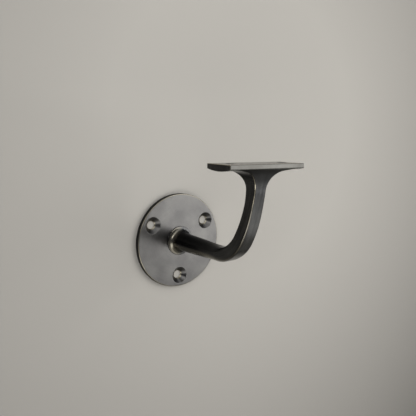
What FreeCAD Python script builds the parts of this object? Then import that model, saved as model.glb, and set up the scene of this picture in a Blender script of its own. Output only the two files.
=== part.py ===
"""Handrail bracket: a round wall rose and a cast arm that carries the rail's saddle.

The frame stands at the centre of the rose's back, on the wall. X runs along
the wall and along the rail, Y points into the wall and Z is up, so the arm
reaches out towards -Y. Lengths are in millimetres and angles in degrees.
"""
import FreeCAD
import Part

import math
import os

# ---- wall rose: a turned disc, screwed to the wall through three holes ----
ROSE_DIAMETER = 60.0
ROSE_THICKNESS = 3.0
ROSE_EDGE_ROUND = 0.6
WALL_SCREW_COUNT = 3
WALL_SCREW_CIRCLE = 45.5
WALL_SCREW_HOLE = 5.0
WALL_COUNTERSINK = 10.6
LOWEST_SCREW_ANGLE = 270.0
COUNTERSINK_ANGLE = 90.0
COUNTERSINK_LIP = 0.2

# ---- spigot of the arm, closed over in the rose's bore ----
SPIGOT_DIAMETER = 9.0
SPIGOT_CLEARANCE = 0.1
SPIGOT_RECESS = 0.5

# ---- trumpet foot of the arm, seated on the rose ----
FOOT_DIAMETER = 18.6
FOOT_RIM = 0.5
FOOT_RIM_BEVEL = 0.3

# ---- centre line of the arm: straight stem, tight bend, long upper curve ----
SADDLE_PROJECTION = 74.0
BEND_RADIUS = 23.5
BEND_ANGLE = 60.0
UPRIGHT_STRAIGHT = 0.3

# ---- thickness of the arm: round at the root, squared from the bend upwards ----
STEM_ROOT_DIAMETER = 12.0
STEM_END_DIAMETER = 10.0
STEM_LENGTH = 31.0
BEND_WIDTH = 9.4
BEND_DEPTH = 7.8
BEND_ARRIS = 1.5
UPRIGHT_WIDTH = 7.8
UPRIGHT_DEPTH = 6.4
UPRIGHT_ARRIS = 0.8

# ---- flare that spreads the upright into the saddle ----
FLARE_SIDE_RADIUS = 10.5
FLARE_FRONT_RADIUS = 5.0
FLARE_RUN_OUT = 8.0
FLARE_LEAD_IN = 2.0

# ---- saddle: a flat-topped plate with a crowned underside ----
SADDLE_HEIGHT = 53.0
SADDLE_LENGTH = 50.0
SADDLE_WIDTH = 18.5
SADDLE_EDGE = 2.5
SADDLE_CROWN = 1.1
SADDLE_EDGE_ROUND = 0.7
SADDLE_TOP_ROUND = 0.3
RAIL_SCREW_SPACING = 35.0
RAIL_SCREW_HOLE = 4.8
RAIL_COUNTERSINK = 8.8

# ---- how the arm's loft is laid out ----
LOFT_SPANS = 12
SIDE_HALF_ANGLE = 12.0

# Heights and lengths closer than this are taken as the same.
NEAR = 1e-3


def sine(angle):
    return math.sin(math.radians(angle))


def cosine(angle):
    return math.cos(math.radians(angle))


# ---- places that follow from the sizes above ----
SADDLE_EDGE_HEIGHT = SADDLE_HEIGHT - SADDLE_EDGE
SADDLE_UNDERSIDE = SADDLE_EDGE_HEIGHT - SADDLE_CROWN
CROWN_RADIUS = (0.25 * SADDLE_WIDTH ** 2 + SADDLE_CROWN ** 2) / (2.0 * SADDLE_CROWN)

# The front fillet touches the upright's face and the crowned underside.
FILLET_OFFSET = 0.5 * UPRIGHT_DEPTH + FLARE_FRONT_RADIUS
FILLET_DROP = math.sqrt((CROWN_RADIUS + FLARE_FRONT_RADIUS) ** 2 - FILLET_OFFSET ** 2)
FILLET_HEIGHT = SADDLE_UNDERSIDE + CROWN_RADIUS - FILLET_DROP
FILLET_END_ANGLE = math.degrees(math.atan2(FILLET_DROP, -FILLET_OFFSET))
SIDE_FLARE_HEIGHT = SADDLE_UNDERSIDE - FLARE_SIDE_RADIUS

# The upper curve leaves the bend's end and is upright just under that fillet.
BEND_END_HEIGHT = BEND_RADIUS * (1.0 - cosine(BEND_ANGLE))
UPPER_END_HEIGHT = FILLET_HEIGHT - UPRIGHT_STRAIGHT
UPPER_RADIUS = (UPPER_END_HEIGHT - BEND_END_HEIGHT) / cosine(BEND_ANGLE)
UPPER_CENTRE_REACH = SADDLE_PROJECTION - UPPER_RADIUS
FLARE_DROP = UPPER_END_HEIGHT - SIDE_FLARE_HEIGHT + FLARE_LEAD_IN
FLARE_TURN = math.degrees(math.acos(FLARE_DROP / UPPER_RADIUS))
BEND_START_REACH = UPPER_CENTRE_REACH + (UPPER_RADIUS - BEND_RADIUS) * sine(BEND_ANGLE)

# Travel along the centre line, from the rose's face.
STEM_TRAVEL = BEND_START_REACH - ROSE_THICKNESS
BEND_TRAVEL = BEND_RADIUS * math.radians(BEND_ANGLE)
UPPER_TRAVEL = UPPER_RADIUS * math.radians(FLARE_TURN - BEND_ANGLE)
BEND_MIDDLE = STEM_TRAVEL + 0.5 * BEND_TRAVEL
ARM_TRAVEL = STEM_TRAVEL + BEND_TRAVEL + UPPER_TRAVEL

X_AXIS = FreeCAD.Vector(1.0, 0.0, 0.0)
Y_AXIS = FreeCAD.Vector(0.0, 1.0, 0.0)
Z_AXIS = FreeCAD.Vector(0.0, 0.0, 1.0)


def point(x, reach, height):
    """A point at a distance from the wall and a height above the rose's centre."""
    return FreeCAD.Vector(x, -reach, height)


def line(start, end):
    return Part.LineSegment(start, end).toShape()


def arc(centre, radius, start, end, place):
    """An arc between two angles round a flat centre, laid out in space by place(u, v)."""
    spots = []
    for angle in (start, 0.5 * (start + end), end):
        spots.append(place(centre[0] + radius * cosine(angle), centre[1] + radius * sine(angle)))
    return Part.Arc(*spots).toShape()


def prism(edges, travel):
    """A closed flat outline, in any order of its edges, pushed along a vector."""
    return Part.Face(Part.Wire(Part.sortEdges(edges)[0])).extrude(travel)


def countersunk_hole(mouth, direction, hole, countersink, depth):
    """Cutter for a screw hole whose cone opens at its mouth."""
    cone_depth = 0.5 * (countersink - hole) / math.tan(math.radians(0.5 * COUNTERSINK_ANGLE))
    bore = Part.makeCylinder(0.5 * hole, depth, mouth, direction)
    return bore.fuse(Part.makeCone(0.5 * countersink, 0.5 * hole, cone_depth, mouth, direction))


# ---------------------------------------------------------------- wall rose
def wall_screw_mouths():
    """Centres of the screw holes on the rose's front face, one of them lowest."""
    mouths = []
    radius = 0.5 * WALL_SCREW_CIRCLE
    for index in range(WALL_SCREW_COUNT):
        angle = LOWEST_SCREW_ANGLE + index * 360.0 / WALL_SCREW_COUNT
        mouths.append(point(radius * cosine(angle), ROSE_THICKNESS, radius * sine(angle)))
    return mouths


def front_circles(rose, diameter):
    """The rose's circular edges of one diameter that lie on its front face."""
    circles = [edge for edge in rose.Edges if isinstance(edge.Curve, Part.Circle)]
    front = [edge for edge in circles if abs(edge.Curve.Center.y + ROSE_THICKNESS) < NEAR]
    return [edge for edge in front if abs(edge.Curve.Radius - 0.5 * diameter) < NEAR]


def wall_rose():
    """A disc with a rounded front edge, a bore for the spigot and countersunk screw holes."""
    back = point(0.0, 0.0, 0.0)
    rose = Part.makeCylinder(0.5 * ROSE_DIAMETER, ROSE_THICKNESS, back, -Y_AXIS)
    bore_radius = 0.5 * SPIGOT_DIAMETER + SPIGOT_CLEARANCE
    rose = rose.cut(Part.makeCylinder(bore_radius, ROSE_THICKNESS, back, -Y_AXIS))
    for mouth in wall_screw_mouths():
        hole = countersunk_hole(mouth, Y_AXIS, WALL_SCREW_HOLE, WALL_COUNTERSINK, ROSE_THICKNESS)
        rose = rose.cut(hole)
    rose = rose.makeFillet(ROSE_EDGE_ROUND, front_circles(rose, ROSE_DIAMETER))
    return rose.makeChamfer(COUNTERSINK_LIP, front_circles(rose, WALL_COUNTERSINK))


# ---------------------------------------------------------------- foot
def foot_and_spigot():
    """The trumpet foot that seats on the rose, with the spigot that fills its bore."""
    root = 0.5 * STEM_ROOT_DIAMETER
    rim = 0.5 * FOOT_DIAMETER
    spigot = 0.5 * SPIGOT_DIAMETER
    rim_top = ROSE_THICKNESS + FOOT_RIM
    shoulder = rim_top - FOOT_RIM_BEVEL
    hollow = rim - FOOT_RIM_BEVEL - root
    top = rim_top + hollow

    def turned(radius, reach):
        return point(radius, reach, 0.0)

    edges = [
        line(turned(0.0, SPIGOT_RECESS), turned(spigot, SPIGOT_RECESS)),
        line(turned(spigot, SPIGOT_RECESS), turned(spigot, ROSE_THICKNESS)),
        line(turned(spigot, ROSE_THICKNESS), turned(rim, ROSE_THICKNESS)),
        line(turned(rim, ROSE_THICKNESS), turned(rim, shoulder)),
        line(turned(rim, shoulder), turned(rim - FOOT_RIM_BEVEL, rim_top)),
        arc((rim - FOOT_RIM_BEVEL, top), hollow, 270.0, 180.0, turned),
        line(turned(root, top), turned(0.0, top)),
        line(turned(0.0, top), turned(0.0, SPIGOT_RECESS)),
    ]
    return Part.Face(Part.Wire(edges)).revolve(point(0.0, 0.0, 0.0), Y_AXIS, 360.0)


# ---------------------------------------------------------------- stem and bar
def stem():
    """The straight round stem, tapered towards the bend."""
    return Part.makeCone(0.5 * STEM_ROOT_DIAMETER, 0.5 * STEM_END_DIAMETER, STEM_LENGTH,
                         point(0.0, ROSE_THICKNESS, 0.0), -Y_AXIS)


def centre_line(travel):
    """Reach, height and slope of the arm's centre line after some travel."""
    if travel <= STEM_TRAVEL:
        return ROSE_THICKNESS + travel, 0.0, 0.0
    if travel <= STEM_TRAVEL + BEND_TRAVEL:
        slope = math.degrees((travel - STEM_TRAVEL) / BEND_RADIUS)
        reach = BEND_START_REACH + BEND_RADIUS * sine(slope)
        return reach, BEND_RADIUS * (1.0 - cosine(slope)), slope
    slope = BEND_ANGLE + math.degrees((travel - STEM_TRAVEL - BEND_TRAVEL) / UPPER_RADIUS)
    reach = UPPER_CENTRE_REACH + UPPER_RADIUS * sine(slope)
    return reach, UPPER_END_HEIGHT - UPPER_RADIUS * cosine(slope), slope


def blend(first, second, share):
    return first + (second - first) * share


def ease(share):
    """Rises from 0 to 1 with no slope at either end."""
    return share * share * (3.0 - 2.0 * share)


def section_sizes(travel):
    """Half width, half depth, arris radius and squareness of the arm's section."""
    if travel <= BEND_MIDDLE:
        share = (travel - STEM_LENGTH) / (BEND_MIDDLE - STEM_LENGTH)
        half_width = 0.5 * blend(STEM_END_DIAMETER, BEND_WIDTH, share)
        half_depth = 0.5 * blend(STEM_END_DIAMETER, BEND_DEPTH, share)
        return half_width, half_depth, BEND_ARRIS, ease(share)
    share = ease((travel - BEND_MIDDLE) / (ARM_TRAVEL - BEND_MIDDLE))
    half_width = 0.5 * blend(BEND_WIDTH, UPRIGHT_WIDTH, share)
    half_depth = 0.5 * blend(BEND_DEPTH, UPRIGHT_DEPTH, share)
    return half_width, half_depth, blend(BEND_ARRIS, UPRIGHT_ARRIS, share), 1.0


def round_spots(half_width, half_depth):
    """Sixteen spots on an oval: each side's start, middle and end, then a corner's middle."""
    spots = []
    for side in range(4):
        for turn in (-SIDE_HALF_ANGLE, 0.0, SIDE_HALF_ANGLE, 45.0):
            angle = 90.0 * side + turn
            spots.append((half_width * cosine(angle), half_depth * sine(angle)))
    return spots


def square_spots(half_width, half_depth, arris):
    """The same sixteen spots on a rectangle with rounded arrises."""
    across = half_width - arris
    along = half_depth - arris
    nook = arris * cosine(45.0)
    half = [
        (half_width, -along), (half_width, 0.0), (half_width, along),
        (across + nook, along + nook),
        (across, half_depth), (0.0, half_depth), (-across, half_depth),
        (-across - nook, along + nook),
    ]
    return half + [(-x, -inward) for x, inward in half]


def section_wire(travel):
    """The arm's outline across its centre line: four sides and four arrises."""
    reach, height, slope = centre_line(travel)
    half_width, half_depth, arris, squareness = section_sizes(travel)
    ovals = round_spots(half_width, half_depth)
    squares = square_spots(half_width, half_depth, arris)
    spots = []
    for oval, square in zip(ovals, squares):
        x = blend(oval[0], square[0], squareness)
        inward = blend(oval[1], square[1], squareness)
        spots.append(point(x, reach - inward * sine(slope), height + inward * cosine(slope)))
    edges = []
    for start in range(0, len(spots), 4):
        side = spots[start:start + 3]
        corner = spots[start + 3]
        following = spots[(start + 4) % len(spots)]
        flat = squareness == 1.0
        edges.append(line(side[0], side[2]) if flat else Part.Arc(*side).toShape())
        edges.append(Part.Arc(side[2], corner, following).toShape())
    return Part.Wire(edges)


def arm_bar():
    """The bar from the stem's end, round there, through the bend to the squared upright."""
    wires = []
    for step in range(LOFT_SPANS + 1):
        wires.append(section_wire(blend(STEM_LENGTH, ARM_TRAVEL, step / LOFT_SPANS)))
    return Part.makeLoft(wires, True, False)


# ---------------------------------------------------------------- flare
def flare_side_view():
    """The top of the upright with its front and back fillets, pushed along X."""
    def place(reach, height):
        return point(-SADDLE_LENGTH, reach, height)

    half = 0.5 * UPRIGHT_DEPTH
    end_away = FILLET_OFFSET + FLARE_FRONT_RADIUS * cosine(FILLET_END_ANGLE)
    end_height = FILLET_HEIGHT + FLARE_FRONT_RADIUS * sine(FILLET_END_ANGLE)
    edges = []
    for sign in (-1.0, 1.0):
        def beside(away, height, sign=sign):
            return place(SADDLE_PROJECTION + sign * away, height)

        curve = (UPPER_CENTRE_REACH, UPPER_END_HEIGHT)
        edges.append(arc(curve, UPPER_RADIUS + sign * half, FLARE_TURN - 90.0, 0.0, place))
        edges.append(line(beside(half, UPPER_END_HEIGHT), beside(half, FILLET_HEIGHT)))
        edges.append(arc((FILLET_OFFSET, FILLET_HEIGHT), FLARE_FRONT_RADIUS,
                         180.0, FILLET_END_ANGLE, beside))
        edges.append(line(beside(end_away, end_height), beside(end_away, SADDLE_EDGE_HEIGHT)))
    foot = []
    for radius in (UPPER_RADIUS - half, UPPER_RADIUS + half):
        foot.append(place(UPPER_CENTRE_REACH + radius * sine(FLARE_TURN),
                          UPPER_END_HEIGHT - radius * cosine(FLARE_TURN)))
    edges.append(line(foot[0], foot[1]))
    edges.append(line(place(SADDLE_PROJECTION - end_away, SADDLE_EDGE_HEIGHT),
                      place(SADDLE_PROJECTION + end_away, SADDLE_EDGE_HEIGHT)))
    return prism(edges, X_AXIS * 2.0 * SADDLE_LENGTH)


def flare_front_view():
    """The top of the upright with its large side fillets, pushed along Y."""
    half = 0.5 * UPRIGHT_WIDTH
    run_out = half + FLARE_SIDE_RADIUS * (1.0 - sine(FLARE_RUN_OUT))
    run_out_height = SIDE_FLARE_HEIGHT + FLARE_SIDE_RADIUS * cosine(FLARE_RUN_OUT)
    run_out_slope = math.tan(math.radians(FLARE_RUN_OUT))
    outer = run_out + (SADDLE_EDGE_HEIGHT - run_out_height) / run_out_slope
    edges = []
    for sign in (-1.0, 1.0):
        def beside(x, height, sign=sign):
            return point(sign * x, 0.0, height)

        side_centre = (half + FLARE_SIDE_RADIUS, SIDE_FLARE_HEIGHT)
        edges.append(line(beside(half, 0.0), beside(half, SIDE_FLARE_HEIGHT)))
        edges.append(arc(side_centre, FLARE_SIDE_RADIUS, 180.0, 90.0 + FLARE_RUN_OUT, beside))
        edges.append(line(beside(run_out, run_out_height), beside(outer, SADDLE_EDGE_HEIGHT)))
    edges.append(line(point(-half, 0.0, 0.0), point(half, 0.0, 0.0)))
    edges.append(line(point(-outer, 0.0, SADDLE_EDGE_HEIGHT),
                      point(outer, 0.0, SADDLE_EDGE_HEIGHT)))
    return prism(edges, -Y_AXIS * 2.0 * SADDLE_PROJECTION)


def is_arris(edge):
    """Whether an edge runs up the flare: the others lie along X or Y, or at an end."""
    box = edge.BoundBox
    on_lower_end = box.ZMax < SIDE_FLARE_HEIGHT and box.YLength > box.ZLength
    inside_saddle = box.ZMax > SADDLE_EDGE_HEIGHT - NEAR
    return box.ZLength > NEAR and not on_lower_end and not inside_saddle


def flare():
    """What both views have in common, with its four arrises rounded."""
    body = flare_side_view().common(flare_front_view())
    return body.makeFillet(UPRIGHT_ARRIS, [edge for edge in body.Edges if is_arris(edge)])


# ---------------------------------------------------------------- saddle
def saddle_plate():
    """A plate cut to length from a flat-topped section with a crowned underside."""
    near = SADDLE_PROJECTION - 0.5 * SADDLE_WIDTH
    far = SADDLE_PROJECTION + 0.5 * SADDLE_WIDTH

    def place(reach, height):
        return point(-0.5 * SADDLE_LENGTH, reach, height)

    crown = Part.Arc(place(near, SADDLE_EDGE_HEIGHT), place(SADDLE_PROJECTION, SADDLE_UNDERSIDE),
                     place(far, SADDLE_EDGE_HEIGHT)).toShape()
    edges = [
        crown,
        line(place(far, SADDLE_EDGE_HEIGHT), place(far, SADDLE_HEIGHT)),
        line(place(far, SADDLE_HEIGHT), place(near, SADDLE_HEIGHT)),
        line(place(near, SADDLE_HEIGHT), place(near, SADDLE_EDGE_HEIGHT)),
    ]
    plate = prism(edges, X_AXIS * SADDLE_LENGTH)
    long_edges = [edge for edge in plate.Edges if edge.BoundBox.XLength > NEAR]
    lower = [edge for edge in long_edges if edge.BoundBox.ZMax < SADDLE_HEIGHT - NEAR]
    plate = plate.makeFillet(SADDLE_EDGE_ROUND, lower)
    upper = [edge for edge in plate.Edges if edge.BoundBox.ZMin > SADDLE_HEIGHT - NEAR]
    return plate.makeFillet(SADDLE_TOP_ROUND, upper)


def arm_and_saddle():
    """The whole casting, with the screw holes that open under its saddle."""
    casting = foot_and_spigot().fuse([stem(), arm_bar(), flare(), saddle_plate()]).removeSplitter()
    depth = SADDLE_EDGE + SADDLE_CROWN
    for sign in (-1.0, 1.0):
        mouth = point(0.5 * sign * RAIL_SCREW_SPACING, SADDLE_PROJECTION, SADDLE_UNDERSIDE)
        hole = countersunk_hole(mouth, Z_AXIS, RAIL_SCREW_HOLE, RAIL_COUNTERSINK, depth)
        casting = casting.cut(hole)
    return casting


def main():
    os.makedirs("parts", exist_ok=True)
    wall_rose().exportStep("parts/wall_rose.step")
    arm_and_saddle().exportStep("parts/arm_and_saddle.step")


main()
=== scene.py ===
"""Handrail bracket: a turned wall rose and a cast arm whose saddle carries the rail.

The frame stands at the centre of the rose's back, on the wall. X runs along
the wall and the rail, Y points into the wall and Z is up. Sizes are written in
millimetres and turned to metres when a mesh is made.
"""

import math

import bmesh
import bpy
import numpy as np
from mathutils import Matrix, Vector


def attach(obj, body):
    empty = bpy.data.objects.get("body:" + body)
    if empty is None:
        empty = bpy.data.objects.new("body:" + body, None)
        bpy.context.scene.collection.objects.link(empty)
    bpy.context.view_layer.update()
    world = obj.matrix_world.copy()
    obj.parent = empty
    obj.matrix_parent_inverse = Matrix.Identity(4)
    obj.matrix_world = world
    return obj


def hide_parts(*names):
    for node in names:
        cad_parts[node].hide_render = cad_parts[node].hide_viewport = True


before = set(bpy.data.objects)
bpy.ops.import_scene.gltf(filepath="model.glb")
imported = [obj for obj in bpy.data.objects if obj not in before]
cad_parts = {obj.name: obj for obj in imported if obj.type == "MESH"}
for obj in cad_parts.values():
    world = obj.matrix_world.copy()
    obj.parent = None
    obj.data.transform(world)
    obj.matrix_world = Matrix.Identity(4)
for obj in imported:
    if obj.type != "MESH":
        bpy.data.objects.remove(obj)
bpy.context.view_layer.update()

MM = 0.001

# ---- sizes of the rose, mm ----
ROSE_RADIUS = 30.0
ROSE_THICKNESS = 3.0
ROSE_EDGE_ROUND = 0.6
WALL_SCREW_CIRCLE_RADIUS = 22.75
WALL_SCREW_ANGLES = (30.0, 150.0, 270.0)
WALL_SCREW_HOLE_RADIUS = 2.5
WALL_COUNTERSINK_RADIUS = 5.3
WALL_COUNTERSINK_LIP = 0.22
SPIGOT_RADIUS = 4.5
SPIGOT_CLEARANCE = 0.1
SPIGOT_RECESS = 0.5
SPIGOT_CENTRE_SHARE = 0.2

# ---- sizes of the foot and the stem, mm ----
FOOT_RADIUS = 9.3
FOOT_RIM = 0.5
FOOT_RIM_ROUND = 0.3
STEM_ROOT_RADIUS = 6.0
STEM_END_RADIUS = 5.0
STEM_LENGTH = 31.0

# ---- centre line of the arm, mm and degrees ----
SADDLE_PROJECTION = 74.0
BEND_RADIUS = 23.5
BEND_ANGLE = 60.0

# ---- half sizes of the arm's section at the bend's middle and at the top, mm ----
BEND_HALF_WIDTH = 4.7
BEND_HALF_DEPTH = 3.9
BEND_ARRIS = 1.5
UPRIGHT_HALF_WIDTH = 3.9
UPRIGHT_HALF_DEPTH = 3.2
UPRIGHT_ARRIS = 0.8
ROUND_SIDE_HALF_ANGLE = 12.0
SQUARING_START = 37.0
SQUARING_LENGTH = 19.0

# ---- flare and saddle, mm and degrees ----
FLARE_SIDE_RADIUS = 10.5
FLARE_RUN_OUT = 8.0
FLARE_FRONT_START = 39.4
FLARE_FRONT_RISE = 11.7
FLARE_FRONT_REACH = 7.2
SWELL_START = 30.0
SWELL_RISE = 14.0
SWELL_DEPTH = 0.7
UPPER_END_HEIGHT = 44.87
SADDLE_TOP = 53.0
SADDLE_EDGE = 2.5
SADDLE_CROWN = 1.1
SADDLE_HALF_LENGTH = 25.0
SADDLE_HALF_WIDTH = 9.25
SADDLE_LONG_EDGE_ROUND = 0.7
SADDLE_END_EDGE_ROUND = 0.25
SADDLE_TOP_ROUND = 0.3
SADDLE_CORNER_ROUND = 0.45
RAIL_SCREW_OFFSET = 17.5
RAIL_SCREW_HOLE_RADIUS = 2.4
RAIL_COUNTERSINK_RADIUS = 4.4
RAIL_HOLE_LIP = 0.15
RAIL_CUTTER_BELOW = 2.0
RAIL_CUTTER_ABOVE = 1.0
LEAST_CORNER_ROUND = 0.05
TOP_INNER_INSET = 3.0 * SADDLE_TOP_ROUND

# ---- where the patina is worn thin, and where painted sheen and painted highlights show brass: shares from 0 to 1, heights in mm ----
SADDLE_CORNER_RUB = 0.9
SADDLE_END_EDGE_RUB = 1.0
SADDLE_LONG_EDGE_RUB = 0.02
# Painted sheen on the saddle's top and along its long sides.
SADDLE_TOP_SHEEN = 0.66
SADDLE_SIDE_SHEEN = 0.05
BAR_ARRIS_RUB = 0.3
ARRIS_SHARPNESS = 6
ARRIS_FADE = 6
ARRIS_WEAR_START = 28.0
ARRIS_WEAR_RISE = 7.0
ARRIS_WEAR_GAIN = 2.2
# Painted sheen under the stem, and a painted highlight on the left of the foot's hollow.
STEM_UNDERSIDE_SHEEN = 0.45
FOOT_HOLLOW_HIGHLIGHT = 0.32
SHEEN_PAST_MIDDLE = 0.2
WALL_BORE_RUB = 0.8
WALL_BORE_MARGIN = 1.05

# ---- painted shade that darkens the patina: shares from 0 to 1, heights in mm ----
STEM_TOP_SHADE = 0.7
SHADE_PAST_MIDDLE = 0.3
UNDER_SADDLE_SHADE = 0.65
UNDER_SADDLE_SHADE_START = 40.0
UNDER_SADDLE_SHADE_RISE = 5.0
UNDER_SADDLE_SHADE_BESIDE = 0.4

# ---- the rose's edge, from its side (0 degrees) to its face (90): painted shade, then a painted highlight line ----
ROSE_EDGE_ANGLES = (20.0, 40.0, 60.0, 85.0)
ROSE_EDGE_SHADE_AND_HIGHLIGHT = (-0.7, 0.0, 0.8, 0.0)

# ---- clouds and fine marks in the patina: sizes in mm, the rest shares ----
CLOUD_SIZE = 12.0
CLOUD_DARK = 0.35
CLOUD_PALE = 0.68
MARK_PITCH = 0.6
MARK_SQUEEZE = 0.03
MARK_LOW = 0.3
MARK_HIGH = 0.7
MARK_GLOSS = 0.03
MARK_DEPTH = 0.04
MARK_STRENGTH = 0.15
PATINA_ROUGHNESS = 0.3

# ---- the wall, mm ----
WALL_PLANE = 0.2
WALL_OPENING_RADIUS = 29.0
WALL_REACH = 4000.0
WALL_RINGS = 7
HOLE_DISC_RADIUS = 4.0

# ---- the floor, the painted pool of light on the wall, the room and the camera: metres, degrees, lens in mm ----
FLOOR_HEIGHT = -0.9
FLOOR_REACH = 3.0
PAINTED_LIGHT_CENTRE = (0.0588, 0.0, 0.0714)
PAINTED_LIGHT_REACH = 0.42
PAINTED_LIGHT_EDGE = 0.1
PAINTED_LIGHT_MIDDLE = 0.75
ROOM_STRENGTH = 0.42
CAMERA_PLACE = (-0.17342, -0.26632, 0.06633)
CAMERA_AZIMUTH = 36.578
CAMERA_ELEVATION = -8.149
CAMERA_ROLL = 0.983
CAMERA_LENS = 43.5
CAMERA_SENSOR = 36.0

# ---- how finely the surfaces are divided, and how they are shaded ----
SIDE_STEPS = 6
CORNER_STEPS = 10
STEM_STEPS = 26
BAR_STEPS = 84
FLARE_STEPS = 26
UNDERSIDE_STEPS = 10
ROUND_STEPS = 5
TURN_STEPS = 96
RIM_STEPS = 72
LINE_STEPS = 16
HUB_STEPS = 8
FACE_STEPS = 6
CONE_STEPS = 4
HALVINGS = 40
UNDERSIDE_CROWDING = 0.8
WELD_DISTANCE = 0.002
SMOOTH_ANGLE = 38.0
FLAT_FACE_WEIGHT = 80


def sine(angle):
    return np.sin(np.radians(angle))


def cosine(angle):
    return np.cos(np.radians(angle))


# ---- places that follow from the sizes ----
SADDLE_EDGE_HEIGHT = SADDLE_TOP - SADDLE_EDGE
SADDLE_UNDERSIDE = SADDLE_EDGE_HEIGHT - SADDLE_CROWN
CROWN_RADIUS = (SADDLE_HALF_WIDTH ** 2 + SADDLE_CROWN ** 2) / (2.0 * SADDLE_CROWN)
SIDE_FLARE_HEIGHT = SADDLE_UNDERSIDE - FLARE_SIDE_RADIUS
BEND_END_HEIGHT = BEND_RADIUS * (1.0 - cosine(BEND_ANGLE))
UPPER_RADIUS = (UPPER_END_HEIGHT - BEND_END_HEIGHT) / cosine(BEND_ANGLE)
UPPER_CENTRE_REACH = SADDLE_PROJECTION - UPPER_RADIUS
BEND_START_REACH = UPPER_CENTRE_REACH + (UPPER_RADIUS - BEND_RADIUS) * sine(BEND_ANGLE)
STEM_TRAVEL = BEND_START_REACH - ROSE_THICKNESS
BEND_TRAVEL = BEND_RADIUS * math.radians(BEND_ANGLE)
BEND_MIDDLE = STEM_TRAVEL + 0.5 * BEND_TRAVEL
ARM_TRAVEL = STEM_TRAVEL + BEND_TRAVEL + UPPER_RADIUS * math.radians(90.0 - BEND_ANGLE)


# ------------------------------------------------------------------ meshes
def make_mesh(name, points, faces):
    """A mesh object from points in millimetres and tuples of point indices."""
    mesh = bpy.data.meshes.new(name)
    mesh.from_pydata((np.asarray(points) * MM).tolist(), [], faces)
    mesh.validate()
    mesh.update()
    piece = bpy.data.objects.new(name, mesh)
    bpy.context.scene.collection.objects.link(piece)
    return piece


def store(mesh, name, values):
    """Keeps one number, or one vector, for each of a mesh's points."""
    values = np.asarray(values, np.float32)
    kind, field = ("FLOAT", "value") if values.ndim == 1 else ("FLOAT_VECTOR", "vector")
    mesh.attributes.new(name, kind, "POINT").data.foreach_set(field, values.ravel())


def places(mesh):
    """A mesh's points as an array, (points, 3), in millimetres."""
    values = np.empty(len(mesh.vertices) * 3)
    mesh.vertices.foreach_get("co", values)
    return values.reshape(-1, 3) / MM


def sheet_faces(rows, columns, closed, first=0):
    """Four-sided faces of a grid of points, whose last column joins the first where it is closed."""
    index = first + np.arange(rows * columns).reshape(rows, columns)
    if closed:
        index = np.concatenate([index, index[:, :1]], axis=1)
    quads = np.stack([index[:-1, :-1], index[:-1, 1:], index[1:, 1:], index[1:, :-1]], axis=-1)
    return [tuple(quad) for quad in quads.reshape(-1, 4).tolist()]


def tube_faces(rings, around):
    """Four-sided faces between closed rings, and one face that closes each end."""
    faces = sheet_faces(rings, around, True)
    faces.append(tuple(range(around - 1, -1, -1)))
    faces.append(tuple(range((rings - 1) * around, rings * around)))
    return faces


def weld(mesh):
    """Joins points that lie in one place and turns every face outwards."""
    work = bmesh.new()
    work.from_mesh(mesh)
    bmesh.ops.remove_doubles(work, verts=work.verts, dist=WELD_DISTANCE * MM)
    bmesh.ops.recalc_face_normals(work, faces=work.faces)
    work.to_mesh(mesh)
    work.free()


def closed_tube(name, rings):
    """A closed skin over an array of rings, (rings, points, 3), ended with flat faces."""
    piece = make_mesh(name, rings.reshape(-1, 3), tube_faces(rings.shape[0], rings.shape[1]))
    point_outwards(piece.data)
    return piece


def point_outwards(mesh):
    """Turns a closed mesh's faces over if its signed volume is negative."""
    mesh.calc_loop_triangles()
    corners = np.empty(len(mesh.loop_triangles) * 3, np.int32)
    mesh.loop_triangles.foreach_get("vertices", corners)
    triangle = places(mesh)[corners.reshape(-1, 3)]
    volume = np.einsum("ij,ij->i", triangle[:, 0], np.cross(triangle[:, 1], triangle[:, 2])).sum()
    if volume < 0.0:
        mesh.flip_normals()


def revolved(name, profile, centre):
    """A profile of (radius, height) turned about an upright axis.

    Each profile point becomes a level circle of that radius, at that height.
    """
    profile = np.asarray(profile, float)
    turn = np.linspace(0.0, 2.0 * np.pi, TURN_STEPS, endpoint=False)
    across = profile[:, :1] * np.cos(turn)
    beside = profile[:, :1] * np.sin(turn)
    height = np.repeat(profile[:, 1:], TURN_STEPS, axis=1)
    return closed_tube(name, np.stack([across, beside, height], axis=-1) + np.asarray(centre, float))


def arc(centre, radius, start, end, steps=ROUND_STEPS):
    """Points on an arc between two angles, both ends included."""
    angle = np.linspace(start, end, steps + 1)
    return np.stack([centre[0] + radius * cosine(angle), centre[1] + radius * sine(angle)], axis=-1)


def cut(piece, cutter):
    """Takes the cutter's volume out of a piece and deletes the cutter."""
    modifier = piece.modifiers.new("cut", "BOOLEAN")
    modifier.operation = "DIFFERENCE"
    modifier.solver = "EXACT"
    modifier.object = cutter
    graph = bpy.context.evaluated_depsgraph_get()
    mesh = bpy.data.meshes.new_from_object(piece.evaluated_get(graph))
    piece.modifiers.clear()
    piece.data = mesh
    bpy.data.objects.remove(cutter)


def shade(piece):
    """Smooth shading that stays crisp over sharp edges and keeps flat faces flat."""
    piece.data.shade_smooth()
    piece.data.set_sharp_from_angle(angle=math.radians(SMOOTH_ANGLE))
    weighted = piece.modifiers.new("flat_faces_lead", "WEIGHTED_NORMAL")
    weighted.keep_sharp = True
    weighted.weight = FLAT_FACE_WEIGHT


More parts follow.
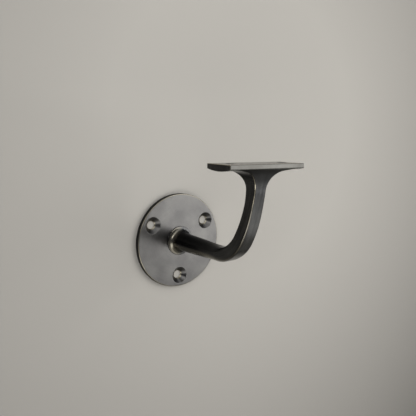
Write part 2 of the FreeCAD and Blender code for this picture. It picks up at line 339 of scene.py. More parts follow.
# ------------------------------------------------------------------ rose
def sector_directions():
    """Directions from a screw hole's centre to the outline of its third of the rose.

    The third is bounded by the outer edge, two radial lines at 60 degrees and
    the bore. Its outline is met in that order, then back along the other line.
    """
    centre = WALL_SCREW_CIRCLE_RADIUS
    outer = ROSE_RADIUS - 2.0 * ROSE_EDGE_ROUND
    bore = SPIGOT_RADIUS + SPIGOT_CLEARANCE
    to_rim = math.degrees(math.atan2(outer * sine(60.0), outer * cosine(60.0) - centre))
    to_bore = math.degrees(math.atan2(bore * sine(60.0), bore * cosine(60.0) - centre))
    rim = np.linspace(-to_rim, to_rim, RIM_STEPS + 1)
    line = np.linspace(to_rim, to_bore, LINE_STEPS + 1)[1:-1]
    hub = np.linspace(to_bore, 360.0 - to_bore, HUB_STEPS + 1)
    away = np.concatenate([
        np.sqrt(outer ** 2 - (centre * sine(rim)) ** 2) - centre * cosine(rim),
        centre * sine(60.0) / sine(line - 60.0),
        -centre * cosine(hub) - np.sqrt(bore ** 2 - (centre * sine(hub)) ** 2),
        centre * sine(60.0) / sine(line[::-1] - 60.0)])
    return np.concatenate([rim, line, hub, 360.0 - line[::-1]]), away


def hole_profile():
    """Lip, 90 degree cone and bore of a screw hole as (radius, reach), from the front to the back."""
    lip = WALL_COUNTERSINK_LIP
    # The lip's arc turns by 45 degrees, so it starts and ends this far from the sharp corner.
    run = lip * math.tan(math.radians(0.5 * 45.0))
    cone_depth = WALL_COUNTERSINK_RADIUS - WALL_SCREW_HOLE_RADIUS
    lip_arc = arc((WALL_COUNTERSINK_RADIUS + run, ROSE_THICKNESS - lip), lip, 90.0, 135.0)
    cone = np.linspace((WALL_COUNTERSINK_RADIUS - run, ROSE_THICKNESS - run),
                       (WALL_SCREW_HOLE_RADIUS, ROSE_THICKNESS - cone_depth), CONE_STEPS + 1)[1:]
    return np.concatenate([lip_arc, cone, [(WALL_SCREW_HOLE_RADIUS, 0.0)]])


def rose_wear_and_edge_light(points):
    """How far brass shows through the rose's patina at each point: worn in its screw holes, and on its
    rounded edge painted shade and a painted highlight line.
    """
    x, y, z = points.T
    radius = np.hypot(x, z)
    up_edge = np.degrees(np.arctan2(-y - ROSE_THICKNESS + ROSE_EDGE_ROUND,
                                    radius - ROSE_RADIUS + ROSE_EDGE_ROUND))
    on_edge = radius > ROSE_RADIUS - ROSE_EDGE_ROUND
    # Painted shade on the side of the rounded edge, then a painted highlight line near the face.
    wear_and_light = np.where(on_edge, np.interp(up_edge, ROSE_EDGE_ANGLES, ROSE_EDGE_SHADE_AND_HIGHLIGHT), 0.0)
    for angle in WALL_SCREW_ANGLES:
        off_axis = np.hypot(x - WALL_SCREW_CIRCLE_RADIUS * cosine(angle),
                            z - WALL_SCREW_CIRCLE_RADIUS * sine(angle))
        wear_and_light = np.where(off_axis < WALL_BORE_MARGIN * WALL_SCREW_HOLE_RADIUS, WALL_BORE_RUB, wear_and_light)
    return wear_and_light


def turned_rose():
    """A disc in three equal thirds, each a grid that runs round its own screw hole.

    A third's grid starts on its outline in front, runs in to the hole's lip,
    down the cone and the bore, and out again to its outline on the back. The
    rounded edge and the bore's wall join the two outlines.
    """
    centre = WALL_SCREW_CIRCLE_RADIUS
    outer = ROSE_RADIUS - 2.0 * ROSE_EDGE_ROUND
    bore = SPIGOT_RADIUS + SPIGOT_CLEARANCE
    turn, away = sector_directions()
    ring = np.stack([cosine(turn), sine(turn)], axis=-1)
    middle = np.array([centre, 0.0])
    outline = middle + ring * away[:, None]
    radius = np.hypot(outline[:, 0], outline[:, 1])[:, None]
    back = outline * (bore + (radius - bore) * (ROSE_RADIUS - bore) / (outer - bore)) / radius
    hole = hole_profile()

    def ruled(start, end, reach, parts):
        """Outlines between two outlines, all at one reach from the wall."""
        flat = start + (end - start) * parts[:, None, None]
        return np.concatenate([flat, np.full(flat.shape[:2] + (1,), reach)], axis=-1)

    lip = middle + ring * hole[0, 0]
    walls = middle + ring * hole[:, :1, None]
    walls = np.concatenate([walls, np.repeat(hole[:, None, 1:], len(turn), axis=1)], axis=-1)
    shares = np.linspace(0.0, 1.0, FACE_STEPS + 1)
    third = np.concatenate([
        ruled(outline, lip, ROSE_THICKNESS, shares[:-1]),
        walls,
        ruled(middle + ring * WALL_SCREW_HOLE_RADIUS, back, 0.0, shares[1:])])

    rim = slice(0, RIM_STEPS + 1)
    direction = outline[rim] / np.hypot(outline[rim, 0], outline[rim, 1])[:, None]
    edge = np.concatenate([[(outer, ROSE_THICKNESS)],
                           arc((ROSE_RADIUS - ROSE_EDGE_ROUND, ROSE_THICKNESS - ROSE_EDGE_ROUND),
                               ROSE_EDGE_ROUND, 90.0, 0.0, 2 * ROUND_STEPS),
                           [(ROSE_RADIUS, 0.0)]])
    edge = np.concatenate([direction * edge[:, :1, None],
                           np.repeat(edge[:, None, 1:], RIM_STEPS + 1, axis=1)], axis=-1)
    hub = outline[RIM_STEPS + LINE_STEPS:RIM_STEPS + LINE_STEPS + HUB_STEPS + 1]
    hub = np.stack([np.column_stack([hub, np.full(len(hub), reach)]) for reach in (0.0, ROSE_THICKNESS)])

    points, faces = [], []
    for angle in WALL_SCREW_ANGLES:
        for sheet, closed in ((third, True), (edge, False), (hub, False)):
            x = sheet[..., 0] * cosine(angle) - sheet[..., 1] * sine(angle)
            z = sheet[..., 0] * sine(angle) + sheet[..., 1] * cosine(angle)
            first = sum(len(part) for part in points)
            faces += sheet_faces(sheet.shape[0], sheet.shape[1], closed, first)
            points.append(np.stack([x, -sheet[..., 2], z], axis=-1).reshape(-1, 3))
    rose = make_mesh("rose_disc", np.concatenate(points), faces)
    weld(rose.data)
    at_points = places(rose.data)
    x, _, z = at_points.T
    store(rose.data, "wear_and_painted_light", rose_wear_and_edge_light(at_points))
    store(rose.data, "marks", np.stack([np.hypot(x, z), MARK_SQUEEZE * x, MARK_SQUEEZE * z], axis=-1))
    return rose


# ------------------------------------------------------------------ arm
def ring_pattern():
    """One trip round a four-sided section, a side and an arris at a time, starting on the +X side.

    Gives, for each point, its place on the inner rectangle (-1 to 1 both ways),
    the direction in which the arris leaves that place, and the angle that the
    same point has on a round section.
    """
    side = np.linspace(-1.0, 1.0, SIDE_STEPS + 1)
    corner = np.linspace(0.0, 90.0, CORNER_STEPS + 1)[1:-1]
    ones = np.ones_like(side)
    inner_x = np.concatenate([ones, np.ones_like(corner)])
    inner_v = np.concatenate([side, np.ones_like(corner)])
    leaving = np.concatenate([0.0 * side, corner])
    turn = np.concatenate([ROUND_SIDE_HALF_ANGLE * side,
                           ROUND_SIDE_HALF_ANGLE + corner * (90.0 - 2.0 * ROUND_SIDE_HALF_ANGLE) / 90.0])
    quarters = []
    for quarter in range(4):
        c, s = round(cosine(90.0 * quarter)), round(sine(90.0 * quarter))
        quarters.append(np.stack([c * inner_x - s * inner_v, s * inner_x + c * inner_v,
                                  leaving + 90.0 * quarter, turn + 90.0 * quarter]))
    return np.concatenate(quarters, axis=1)


INNER_X, INNER_V, LEAVING, TURN = ring_pattern()

# How the wear goes round a section: most in the middle of an arris, on the front arrises of
# the bar. A painted sheen goes under the stem and painted shade on its top; the painted shade under the
# saddle is full on the front face.
ARRIS_RUB = np.abs(sine(2.0 * LEAVING)) ** ARRIS_SHARPNESS
FRONT_RUB = BAR_ARRIS_RUB * ARRIS_RUB * (0.5 - 0.5 * sine(LEAVING))
STEM_SHEEN_AND_SHADE = (STEM_UNDERSIDE_SHEEN * np.clip(SHEEN_PAST_MIDDLE - sine(TURN), 0.0, 1.0)
            - STEM_TOP_SHADE * np.clip(SHADE_PAST_MIDDLE + sine(TURN), 0.0, 1.0))
UNDER_SADDLE_SHADE_SIDES = (UNDER_SADDLE_SHADE_BESIDE + (1.0 - UNDER_SADDLE_SHADE_BESIDE) * np.clip(-sine(LEAVING), 0.0, 1.0)
              ) * (1.0 - ARRIS_RUB)


def with_wear_and_light(points, wear_and_light):
    """Adds a fourth number to each point: from 0 to 1 brass shows, through worn patina and as painted
    highlights and sheen; from 0 to -1 painted shade.
    """
    return np.concatenate([points, np.broadcast_to(wear_and_light, points.shape[:-1])[..., None]], axis=-1)


def squared(half_width, half_depth, arris):
    """A rectangle with rounded arrises: the inner rectangle plus a step of one arris radius."""
    x = INNER_X * (half_width - arris) + arris * cosine(LEAVING)
    v = INNER_V * (half_depth - arris) + arris * sine(LEAVING)
    return x, v


def ease(share):
    """Rises from 0 to 1 with no slope at either end."""
    share = np.clip(share, 0.0, 1.0)
    return share * share * (3.0 - 2.0 * share)


def centre_line(travel):
    """Reach, height and slope after some travel: straight, then a tight arc, then a long arc."""
    bend = np.degrees((travel - STEM_TRAVEL) / BEND_RADIUS)
    upper = BEND_ANGLE + np.degrees((travel - STEM_TRAVEL - BEND_TRAVEL) / UPPER_RADIUS)
    on_stem = travel <= STEM_TRAVEL
    on_bend = travel <= STEM_TRAVEL + BEND_TRAVEL
    slope = np.where(on_stem, 0.0, np.where(on_bend, bend, upper))
    reach = np.where(on_stem, ROSE_THICKNESS + travel,
                     np.where(on_bend, BEND_START_REACH + BEND_RADIUS * sine(slope),
                              UPPER_CENTRE_REACH + UPPER_RADIUS * sine(slope)))
    height = np.where(on_bend, BEND_RADIUS * (1.0 - cosine(slope)),
                      UPPER_END_HEIGHT - UPPER_RADIUS * cosine(slope))
    return reach, height, slope


def side_flare(height):
    """Half width of the flare at a height: an arc that leaves the upright, then a shallow slope."""
    rise = np.clip(height - SIDE_FLARE_HEIGHT, 0.0, FLARE_SIDE_RADIUS * cosine(FLARE_RUN_OUT))
    on_arc = UPRIGHT_HALF_WIDTH + FLARE_SIDE_RADIUS - np.sqrt(FLARE_SIDE_RADIUS ** 2 - rise ** 2)
    beyond = np.maximum(height - SIDE_FLARE_HEIGHT - FLARE_SIDE_RADIUS * cosine(FLARE_RUN_OUT), 0.0)
    return on_arc + beyond / math.tan(math.radians(FLARE_RUN_OUT))


def front_flare(height):
    """Half depth of the flare at a height: a slight swell, then a quarter of a tall ellipse."""
    rise = np.clip((height - FLARE_FRONT_START) / FLARE_FRONT_RISE, 0.0, 1.0)
    swell = SWELL_DEPTH * ease((height - SWELL_START) / SWELL_RISE)
    return UPRIGHT_HALF_DEPTH + swell + FLARE_FRONT_REACH * (1.0 - np.sqrt(1.0 - rise ** 2))


def crown(v):
    """Height of the saddle's crowned underside at a distance from its middle line."""
    return SADDLE_UNDERSIDE + CROWN_RADIUS - np.sqrt(CROWN_RADIUS ** 2 - v ** 2)


def shade_under_saddle(height):
    """How much painted shade there is at a height: it darkens the hollow under the saddle."""
    return UNDER_SADDLE_SHADE * ease((height - UNDER_SADDLE_SHADE_START) / UNDER_SADDLE_SHADE_RISE)


def arris_wear(height):
    """How much the front arrises are rubbed: little in the bend, and about three times that above."""
    return 1.0 + ARRIS_WEAR_GAIN * ease((height - ARRIS_WEAR_START) / ARRIS_WEAR_RISE)


def foot_rings():
    """Spigot, rim and hollow of the trumpet foot: circles from a profile of (radius, reach)."""
    rim_top = ROSE_THICKNESS + FOOT_RIM
    hollow = FOOT_RADIUS - FOOT_RIM_ROUND - STEM_ROOT_RADIUS
    rim = arc((FOOT_RADIUS - FOOT_RIM_ROUND, rim_top - FOOT_RIM_ROUND), FOOT_RIM_ROUND, 0.0, 90.0)
    trumpet = arc((FOOT_RADIUS - FOOT_RIM_ROUND, rim_top + hollow), hollow, 270.0, 180.0, 3 * ROUND_STEPS)
    profile = np.concatenate([[(SPIGOT_CENTRE_SHARE * SPIGOT_RADIUS, SPIGOT_RECESS),
                               (SPIGOT_RADIUS, SPIGOT_RECESS),
                               (SPIGOT_RADIUS, ROSE_THICKNESS), (FOOT_RADIUS, ROSE_THICKNESS)],
                              rim, trumpet[1:]])
    radius = profile[:, :1]
    x = radius * cosine(TURN)
    v = radius * sine(TURN)
    in_hollow = np.arange(len(profile))[:, None] >= len(profile) - len(trumpet)
    # A painted highlight on the left of the foot's hollow.
    left_highlight = FOOT_HOLLOW_HIGHLIGHT * np.clip(SHEEN_PAST_MIDDLE - cosine(TURN), 0.0, 1.0)
    points = np.stack([x, np.repeat(-profile[:, 1:], x.shape[1], axis=1), v], axis=-1)
    return with_wear_and_light(points, np.where(in_hollow, left_highlight, 0.0))


def bar_rings():
    """The stem and the bar: sections square to the centre line, round at first and then squared.

    A section is a mix of an oval and a rectangle with rounded arrises. Its width
    follows the side flare at each point's own height, and its depth the front
    flare at the height of the centre line.
    """
    start = FOOT_RADIUS - FOOT_RIM_ROUND - STEM_ROOT_RADIUS + FOOT_RIM
    stem = np.linspace(start, STEM_LENGTH, STEM_STEPS, endpoint=False)[1:]
    bar = np.linspace(STEM_LENGTH, ARM_TRAVEL, BAR_STEPS + 1)
    travel = np.concatenate([stem, bar])[:, None]
    reach, height, slope = centre_line(travel)

    stem_radius = STEM_ROOT_RADIUS + (STEM_END_RADIUS - STEM_ROOT_RADIUS) * travel / STEM_LENGTH
    low = np.clip((travel - STEM_LENGTH) / (BEND_MIDDLE - STEM_LENGTH), 0.0, 1.0)
    high = ease((travel - BEND_MIDDLE) / (ARM_TRAVEL - BEND_MIDDLE))
    on_stem = travel <= STEM_LENGTH
    on_low = travel <= BEND_MIDDLE
    half_width = np.where(on_stem, stem_radius, np.where(
        on_low, STEM_END_RADIUS + (BEND_HALF_WIDTH - STEM_END_RADIUS) * low,
        BEND_HALF_WIDTH + (UPRIGHT_HALF_WIDTH - BEND_HALF_WIDTH) * high))
    half_depth = np.where(on_stem, stem_radius, np.where(
        on_low, STEM_END_RADIUS + (BEND_HALF_DEPTH - STEM_END_RADIUS) * low,
        BEND_HALF_DEPTH + (UPRIGHT_HALF_DEPTH - BEND_HALF_DEPTH) * high))
    arris = BEND_ARRIS + (UPRIGHT_ARRIS - BEND_ARRIS) * high
    squareness = ease((travel - SQUARING_START) / SQUARING_LENGTH)
    bent = ease((travel - STEM_LENGTH) / BEND_TRAVEL)

    round_x = half_width * cosine(TURN)
    round_v = half_depth * sine(TURN)
    square_x, square_v = squared(half_width, half_depth, arris)
    deepened = front_flare(height) - UPRIGHT_HALF_DEPTH
    v = round_v + (square_v - round_v) * squareness + INNER_V * deepened
    z = height + v * cosine(slope)
    flared = side_flare(z) - UPRIGHT_HALF_WIDTH
    x = round_x + (square_x - round_x) * squareness + INNER_X * flared
    # Worn front arrises, a painted sheen under the stem, painted shade on its top and painted shade under the
    # saddle.
    wear_and_light = FRONT_RUB * arris_wear(z) * bent + STEM_SHEEN_AND_SHADE * (1.0 - bent) - shade_under_saddle(z) * UNDER_SADDLE_SHADE_SIDES
    return with_wear_and_light(np.stack([x, -(reach - v * sine(slope)), z], axis=-1), wear_and_light)


def flare_section(height):
    """The flare cut level at a height: a rounded rectangle as wide and deep as both flares."""
    return squared(side_flare(height), front_flare(height), UPRIGHT_ARRIS)


def flare_rings():
    """From the upright's top up to the saddle's underside, where each point stops at the crown."""
    low = np.full(TURN.shape, UPPER_END_HEIGHT)
    high = np.full(TURN.shape, SADDLE_EDGE_HEIGHT)
    for _ in range(HALVINGS):
        middle = 0.5 * (low + high)
        inside = middle >= crown(flare_section(middle)[1])
        high = np.where(inside, middle, high)
        low = np.where(inside, low, middle)
    share = sine(np.linspace(0.0, 90.0, FLARE_STEPS + 1)[1:])[:, None]
    z = UPPER_END_HEIGHT + (high - UPPER_END_HEIGHT) * share
    x, v = flare_section(z)
    # Worn front arrises that fade out, and painted shade under the saddle.
    wear_and_light = FRONT_RUB * arris_wear(z) * (1.0 - share ** ARRIS_FADE) - shade_under_saddle(z) * UNDER_SADDLE_SHADE_SIDES
    return with_wear_and_light(np.stack([x, v - SADDLE_PROJECTION, z], axis=-1), wear_and_light)


def saddle_outline(inset_x, inset_v):
    """The saddle's outline drawn in by an inset at its ends and along its sides."""
    corner = np.maximum(SADDLE_CORNER_ROUND - np.maximum(inset_x, inset_v), LEAST_CORNER_ROUND)
    x = INNER_X * (SADDLE_HALF_LENGTH - inset_x - corner) + corner * cosine(LEAVING)
    v = INNER_V * (SADDLE_HALF_WIDTH - inset_v - corner) + corner * sine(LEAVING)
    return x, v


def saddle_rings(last_ring):
    """Underside, edges and top of the saddle, from the flare's end to the middle of the top.

    The underside runs straight in plan from the flare to the outline and lies on
    the crown. The lower edge is an arc, larger along the sides than at the ends.
    """
    end_x, end_v = last_ring[:, 0], last_ring[:, 1] + SADDLE_PROJECTION
    side_share = sine(LEAVING) ** 2
    lower = SADDLE_END_EDGE_ROUND + (SADDLE_LONG_EDGE_ROUND - SADDLE_END_EDGE_ROUND) * side_share
    edge_x, edge_v = saddle_outline(SADDLE_END_EDGE_ROUND, SADDLE_LONG_EDGE_ROUND)
    share = np.linspace(0.0, 1.0, UNDERSIDE_STEPS + 1)[1:, None] ** UNDERSIDE_CROWDING
    x = end_x + (edge_x - end_x) * share
    v = end_v + (edge_v - end_v) * share
    # The underside carries painted shade, darkest where it meets the flare.
    rings = [with_wear_and_light(np.stack([x, v, crown(v)], axis=-1), -UNDER_SADDLE_SHADE * (1.0 - share))]

    end_share = cosine(LEAVING) ** 2
    # Worn corners, and a painted sheen along the long sides.
    corner_wear_and_side_sheen = np.maximum(SADDLE_CORNER_RUB * ARRIS_RUB, SADDLE_SIDE_SHEEN * (1.0 - end_share))
    edge_rub = SADDLE_LONG_EDGE_RUB + (SADDLE_END_EDGE_RUB - SADDLE_LONG_EDGE_RUB) * end_share
    for angle in np.linspace(0.0, 90.0, ROUND_STEPS + 1)[1:]:
        left = 1.0 - sine(angle)
        x, v = saddle_outline(SADDLE_END_EDGE_ROUND * left, SADDLE_LONG_EDGE_ROUND * left)
        z = crown(edge_v) + lower * (1.0 - cosine(angle))
        rings.append(with_wear_and_light(np.stack([x, v, z], axis=-1), corner_wear_and_side_sheen)[None])
    for angle in np.linspace(0.0, 90.0, ROUND_STEPS + 1):
        inset = SADDLE_TOP_ROUND * (1.0 - cosine(angle))
        x, v = saddle_outline(inset, inset)
        height = SADDLE_TOP - SADDLE_TOP_ROUND * (1.0 - sine(angle))
        wear_and_light = np.maximum(corner_wear_and_side_sheen, edge_rub * sine(2.0 * angle))
        # A painted sheen on the top, which grows as the rounding turns flat.
        wear_and_light = np.maximum(wear_and_light, SADDLE_TOP_SHEEN * sine(angle) ** 4)
        rings.append(with_wear_and_light(np.stack([x, v, np.full_like(x, height)], axis=-1), wear_and_light)[None])
    # The middle of the top carries the same painted sheen.
    x, v = saddle_outline(TOP_INNER_INSET, TOP_INNER_INSET)
    rings.append(with_wear_and_light(np.stack([x, v, np.full_like(x, SADDLE_TOP)], axis=-1), SADDLE_TOP_SHEEN)[None])
    rings = np.concatenate(rings)
    rings[..., 1] -= SADDLE_PROJECTION
    return rings


def arm_marks(points):
    """Where each point of the arm lies in the pattern of marks, mm.

    Two numbers go round a circle of the stem's size. The third is the travel
    along the arm, squeezed, which draws the marks out lengthwise.
    """
    step = np.linalg.norm(np.diff(points, axis=0), axis=-1).mean(axis=1)
    along = np.repeat(np.concatenate([[0.0], np.cumsum(step)])[:, None], len(TURN), axis=1)
    around = STEM_END_RADIUS * np.stack([cosine(TURN), sine(TURN)], axis=-1)
    around = np.broadcast_to(around, points.shape[:2] + (2,))
    return np.concatenate([around, MARK_SQUEEZE * along[..., None]], axis=-1).reshape(-1, 3)


def cast_arm():
    """Foot, stem, bar, flare and saddle as one skin, with the rail's screw holes cut out."""
    flare = flare_rings()
    rings = np.concatenate([foot_rings(), bar_rings(), flare, saddle_rings(flare[-1])])
    arm = closed_tube("cast_arm", rings[..., :3])
    store(arm.data, "wear_and_painted_light", rings[..., 3].ravel())
    store(arm.data, "marks", arm_marks(rings[..., :3]))
    cone_top = SADDLE_UNDERSIDE + RAIL_COUNTERSINK_RADIUS - RAIL_SCREW_HOLE_RADIUS
    profile = [(RAIL_COUNTERSINK_RADIUS, SADDLE_UNDERSIDE - RAIL_CUTTER_BELOW),
               (RAIL_COUNTERSINK_RADIUS, SADDLE_UNDERSIDE),
               (RAIL_SCREW_HOLE_RADIUS, cone_top),
               (RAIL_SCREW_HOLE_RADIUS, SADDLE_TOP - RAIL_HOLE_LIP),
               (RAIL_SCREW_HOLE_RADIUS + RAIL_HOLE_LIP, SADDLE_TOP),
               (RAIL_SCREW_HOLE_RADIUS + RAIL_HOLE_LIP, SADDLE_TOP + RAIL_CUTTER_ABOVE)]
    for side in (-1.0, 1.0):
        cut(arm, revolved("rail_cutter", profile, (side * RAIL_SCREW_OFFSET, -SADDLE_PROJECTION, 0.0)))
    return arm


# ------------------------------------------------------------------ finishes
def linear(code):
    """An sRGB hex colour as linear red, green, blue and alpha."""
    parts = [int(code[start:start + 2], 16) / 255.0 for start in (1, 3, 5)]
    return [part / 12.92 if part <= 0.04045 else ((part + 0.055) / 1.055) ** 2.4 for part in parts] + [1.0]


def add(tree, kind, links=None, **settings):
    """Adds a node, sets its properties and sockets by name, and links sockets to other outputs."""
    node = tree.nodes.new(kind)
    for name, value in settings.items():
        setattr(node, name, value)
    for socket, value in (links or {}).items():
        if isinstance(value, bpy.types.NodeSocket):
            tree.links.new(value, node.inputs[socket])
        else:
            node.inputs[socket].default_value = value
    return node


def new_material(name):
    """An empty material, ready for its nodes."""
    material = bpy.data.materials.new(name)
    material.use_nodes = True
    material.node_tree.nodes.clear()
    return material


def ramp(tree, source, stops):
    """A colour ramp with named sRGB colours at its stops."""
    node = add(tree, "ShaderNodeValToRGB", {"Fac": source})
    elements = node.color_ramp.elements
    while len(elements) < len(stops):
        elements.new(0.5)
    for element, (place, code) in zip(elements, stops):
        element.position = place
        element.color = linear(code)
    return node.outputs["Color"]


def bronzed_brass(name, dark, pale, brass, roughness, marks):
    """Brass, chemically darkened and waxed: near black, satin, with worn arrises.

    The patina is an oxide skin of a few micrometres, which clouds over from
    dark to pale. Fine marks from finishing run along the arm and round the rose,
    and vary the skin's tone, by the share given as marks, and its gloss. On worn
    arrises the skin is thin and the brass shines through; painted highlights and
    sheen show brass too, and painted shade makes the skin darker and duller.
    """
    material = new_material(name)
    tree = material.node_tree
    place = add(tree, "ShaderNodeTexCoord").outputs["Object"]
    clouds = add(tree, "ShaderNodeTexNoise", {"Vector": place, "Scale": 1.0 / (CLOUD_SIZE * MM),
                                              "Detail": 4.0, "Roughness": 0.55}).outputs["Fac"]
    lines = add(tree, "ShaderNodeAttribute", attribute_name="marks").outputs["Vector"]
    streaks = add(tree, "ShaderNodeTexNoise", {"Vector": lines, "Scale": 1.0 / MARK_PITCH, "Detail": 3.0,
                                               "Roughness": 0.65}).outputs["Fac"]
    wear_and_painted_light = add(tree, "ShaderNodeAttribute", attribute_name="wear_and_painted_light").outputs["Fac"]
    # Below 0 the number is painted shade: it darkens the skin and makes it duller.
    painted_shade_share = add(tree, "ShaderNodeMapRange", {"Value": wear_and_painted_light, "From Min": 0.0,
                                             "From Max": -1.0}).outputs["Result"]
    light = add(tree, "ShaderNodeMath", {0: 1.0, 1: painted_shade_share}, operation="SUBTRACT").outputs["Value"]
    tone = add(tree, "ShaderNodeMapRange", {"Value": streaks, "From Min": MARK_LOW, "From Max": MARK_HIGH,
                                            "To Min": 1.0 - marks, "To Max": 1.0 + marks}).outputs["Result"]
    skin = ramp(tree, clouds, [(CLOUD_DARK, dark), (CLOUD_PALE, pale)])
    skin = add(tree, "ShaderNodeVectorMath", {0: skin, "Scale": tone}, operation="SCALE").outputs["Vector"]
    skin = add(tree, "ShaderNodeVectorMath", {0: skin, "Scale": light}, operation="SCALE").outputs["Vector"]
    # Where the number is above 0 brass shows: worn patina, painted highlights and painted sheen.
    colour = add(tree, "ShaderNodeMix", {"Factor": wear_and_painted_light, "A": skin, "B": linear(brass)},
                 data_type="RGBA").outputs["Result"]
    gloss = add(tree, "ShaderNodeMapRange", {"Value": streaks, "From Min": MARK_LOW, "From Max": MARK_HIGH,
                                             "To Min": roughness - MARK_GLOSS,
                                             "To Max": roughness + MARK_GLOSS}).outputs["Result"]
    gloss = add(tree, "ShaderNodeMath", {0: painted_shade_share, 1: PATINA_ROUGHNESS, 2: gloss},
                operation="MULTIPLY_ADD").outputs["Value"]
    bump = add(tree, "ShaderNodeBump", {"Height": streaks, "Strength": MARK_STRENGTH,
                                        "Distance": MARK_DEPTH * MM}).outputs["Normal"]
    shader = add(tree, "ShaderNodeBsdfPrincipled", {"Base Color": colour, "Metallic": 1.0, "Roughness": gloss,
                                                    "Normal": bump}).outputs["BSDF"]
    add(tree, "ShaderNodeOutputMaterial", {"Surface": shader})
    return material


def matt_paint_and_painted_light(name, colour, shaded):
    """Matt emulsion paint: plain and without shine, with a painted pool of light that leaves it a little
    darker away from the bracket.

    It is seen and lit from its front only. From behind it lets light through,
    so that the wall doesn't hide the bracket's back.
    """
    material = new_material(name)
    tree = material.node_tree
    place = add(tree, "ShaderNodeTexCoord").outputs["Object"]
    # Painted light: the colour is full near the bracket and painted shade further out.
    shift = [-part / PAINTED_LIGHT_REACH for part in PAINTED_LIGHT_CENTRE]
    near = add(tree, "ShaderNodeMapping", {"Vector": place, "Location": shift,
                                           "Scale": (1.0 / PAINTED_LIGHT_REACH,) * 3}).outputs["Vector"]
    near = add(tree, "ShaderNodeTexGradient", {"Vector": near}, gradient_type="SPHERICAL").outputs["Fac"]
    tone = ramp(tree, near, [(PAINTED_LIGHT_EDGE, shaded), (PAINTED_LIGHT_MIDDLE, colour)])
    paint = add(tree, "ShaderNodeBsdfDiffuse", {"Color": tone}).outputs["BSDF"]
    clear = add(tree, "ShaderNodeBsdfTransparent").outputs["BSDF"]
    behind = add(tree, "ShaderNodeNewGeometry").outputs["Backfacing"]
    shader = add(tree, "ShaderNodeMixShader", {"Fac": behind, 1: paint, 2: clear}).outputs["Shader"]
    add(tree, "ShaderNodeOutputMaterial", {"Surface": shader})
    return material


# ------------------------------------------------------------------ stage
def flat_floor(material):
    """A single square face that faces upwards."""
    reach = FLOOR_REACH
    mesh = bpy.data.meshes.new("floor")
    mesh.from_pydata([(-reach, -reach, FLOOR_HEIGHT), (reach, -reach, FLOOR_HEIGHT),
                      (reach, reach, FLOOR_HEIGHT), (-reach, reach, FLOOR_HEIGHT)], [], [(0, 1, 2, 3)])
    panel = bpy.data.objects.new("floor", mesh)
    bpy.context.scene.collection.objects.link(panel)
    mesh.materials.append(material)


def wall_with_opening(material):
    """The wall: a flat ring round an opening behind the rose, and a small disc behind each screw hole.

    The opening lets light reach the rose's back, which shows in views from
    behind. The rose hides it from the room, where each screw hole shows a disc.
    """
    turn = np.linspace(0.0, 360.0, TURN_STEPS, endpoint=False)

    def circle(radius, middle=(0.0, 0.0)):
        """Points round a circle in the wall's plane."""
        return np.stack([middle[0] + radius * cosine(turn), np.full_like(turn, WALL_PLANE),
                         middle[1] + radius * sine(turn)], axis=-1)

    reaches = WALL_OPENING_RADIUS * (WALL_REACH / WALL_OPENING_RADIUS) ** np.linspace(0.0, 1.0, WALL_RINGS)
    points = [circle(radius) for radius in reaches]
    faces = [face[::-1] for face in sheet_faces(len(points), TURN_STEPS, True)]
    for angle in WALL_SCREW_ANGLES:
        first = len(points) * TURN_STEPS
        points.append(circle(HOLE_DISC_RADIUS, (WALL_SCREW_CIRCLE_RADIUS * cosine(angle),
                                                WALL_SCREW_CIRCLE_RADIUS * sine(angle))))
        faces.append(tuple(range(first, first + TURN_STEPS)))
    wall = make_mesh("wall", np.concatenate(points), faces)
    wall.data.materials.append(material)


def at(azimuth, elevation, distance):
    """A place in the room, seen from the rose: azimuth 0 is straight out from the wall, 90 along +X."""
    return (distance * sine(azimuth) * cosine(elevation),
            -distance * cosine(azimuth) * cosine(elevation),
            distance * sine(elevation))


def soft_box(name, place, aim, size, strength):
    """A rectangular lamp, metres wide and high. At a strength of 1 its face is as bright as white."""
    lamp = bpy.data.lights.new(name, "AREA")
    lamp.shape = "RECTANGLE"
    lamp.size, lamp.size_y = size
    lamp.energy = strength * math.pi * size[0] * size[1]
    holder = bpy.data.objects.new(name, lamp)
    bpy.context.scene.collection.objects.link(holder)
    holder.location = place
    away = Vector(place) - Vector(aim)
    holder.rotation_euler = away.to_track_quat("Z", "Y").to_euler()
    holder.visible_camera = False


def room_light():
    """A dim, slightly blue grey light from all round."""
    world = bpy.data.worlds.new("room")
    world.use_nodes = True
    background = world.node_tree.nodes["Background"]
    background.inputs["Color"].default_value = linear("#b9bcc4")
    background.inputs["Strength"].default_value = ROOM_STRENGTH
    return world


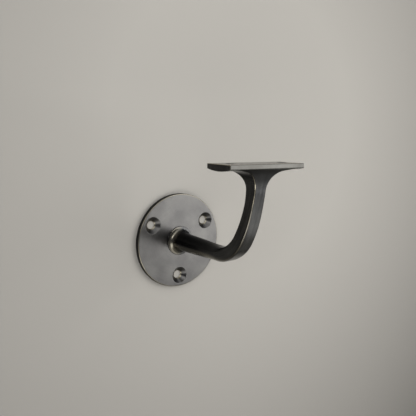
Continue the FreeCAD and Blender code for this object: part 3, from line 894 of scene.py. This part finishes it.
def add_camera():
    """The camera stands to the left of the bracket and a little above it, and looks slightly down."""
    data = bpy.data.cameras.new("camera")
    data.lens = CAMERA_LENS
    data.sensor_width = CAMERA_SENSOR
    data.clip_start = 0.01
    camera = bpy.data.objects.new("camera", data)
    bpy.context.scene.collection.objects.link(camera)
    azimuth, elevation = math.radians(CAMERA_AZIMUTH), math.radians(CAMERA_ELEVATION)
    roll = math.radians(CAMERA_ROLL)
    forward = Vector((math.sin(azimuth) * math.cos(elevation),
                      math.cos(azimuth) * math.cos(elevation), math.sin(elevation)))
    level = forward.cross(Vector((0.0, 0.0, 1.0))).normalized()
    upright = level.cross(forward)
    right = math.cos(roll) * level + math.sin(roll) * upright
    up = math.cos(roll) * upright - math.sin(roll) * level
    turn = Matrix((right, up, -forward)).transposed()
    camera.matrix_world = Matrix.Translation(CAMERA_PLACE) @ turn.to_4x4()
    bpy.context.scene.camera = camera


def add_lamps():
    """Plain soft boxes, each named for where it stands."""
    centre = (0.0, 0.0, 0.0)
    # Seen in the rose's face and the saddle's front and top; it lights the wall as well.
    soft_box("key", at(45.0, 6.5, 2.0), centre, (1.44, 1.6), 6.0)
    # Seen in the upright's front face.
    soft_box("low_front", at(45.0, -31.0, 1.3), centre, (0.98, 0.82), 1.6)
    # Seen in the foot's hollow on the left, above and below, and in the bend's arrises.
    soft_box("left_window", at(-42.0, 24.0, 1.0), centre, (0.35, 0.35), 5.0)
    soft_box("low_left", at(-42.0, -37.0, 1.2), centre, (1.0, 0.62), 3.4)
    # Seen in the countersinks.
    soft_box("overhead", at(0.0, 54.0, 0.9), centre, (1.5, 0.6), 2.0)
    # Seen in the underside of the stem and of the bend.
    soft_box("low_middle", at(2.0, -38.0, 1.3), centre, (0.8, 0.5), 1.6)
    # These two stand behind the wall and light the back alone.
    soft_box("behind", (0.0, 1.6, 0.0), centre, (5.0, 2.6), 1.0)
    soft_box("behind_above", (0.0, 1.8, 1.6), (0.0, 1.8, 0.0), (3.0, 3.0), 0.6)


def build():
    """The whole scene: camera, the two pieces with their finishes, wall, floor and light."""
    scene = bpy.context.scene
    scene.view_settings.view_transform = "Standard"
    add_camera()

    rose_finish = bronzed_brass("bronzed_brass_turned", "#403f3e", "#4b4a48", "#8f8874", 0.30, 0.06)
    arm_finish = bronzed_brass("bronzed_brass_cast", "#303030", "#3b3b3a", "#98917f", 0.22, 0.3)
    rose = turned_rose()
    arm = cast_arm()
    for piece, node, slot, finish in ((rose, "wall_rose", "rose_bronze", rose_finish),
                                      (arm, "arm_and_saddle", "arm_bronze", arm_finish)):
        piece.data.materials.clear()
        piece.data.materials.append(finish)
        shade(piece)
        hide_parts(node)
        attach(piece, "root")

    # The wall's paint carries a painted pool of light, darker away from the bracket.
    wall_with_opening(matt_paint_and_painted_light("matt_wall_paint_and_painted_light", "#918e88", "#5f5d59"))
    flat_floor(matt_paint_and_painted_light("matt_floor_paint", "#c2bfb8", "#c2bfb8"))
    add_lamps()
    scene.world = room_light()


build()
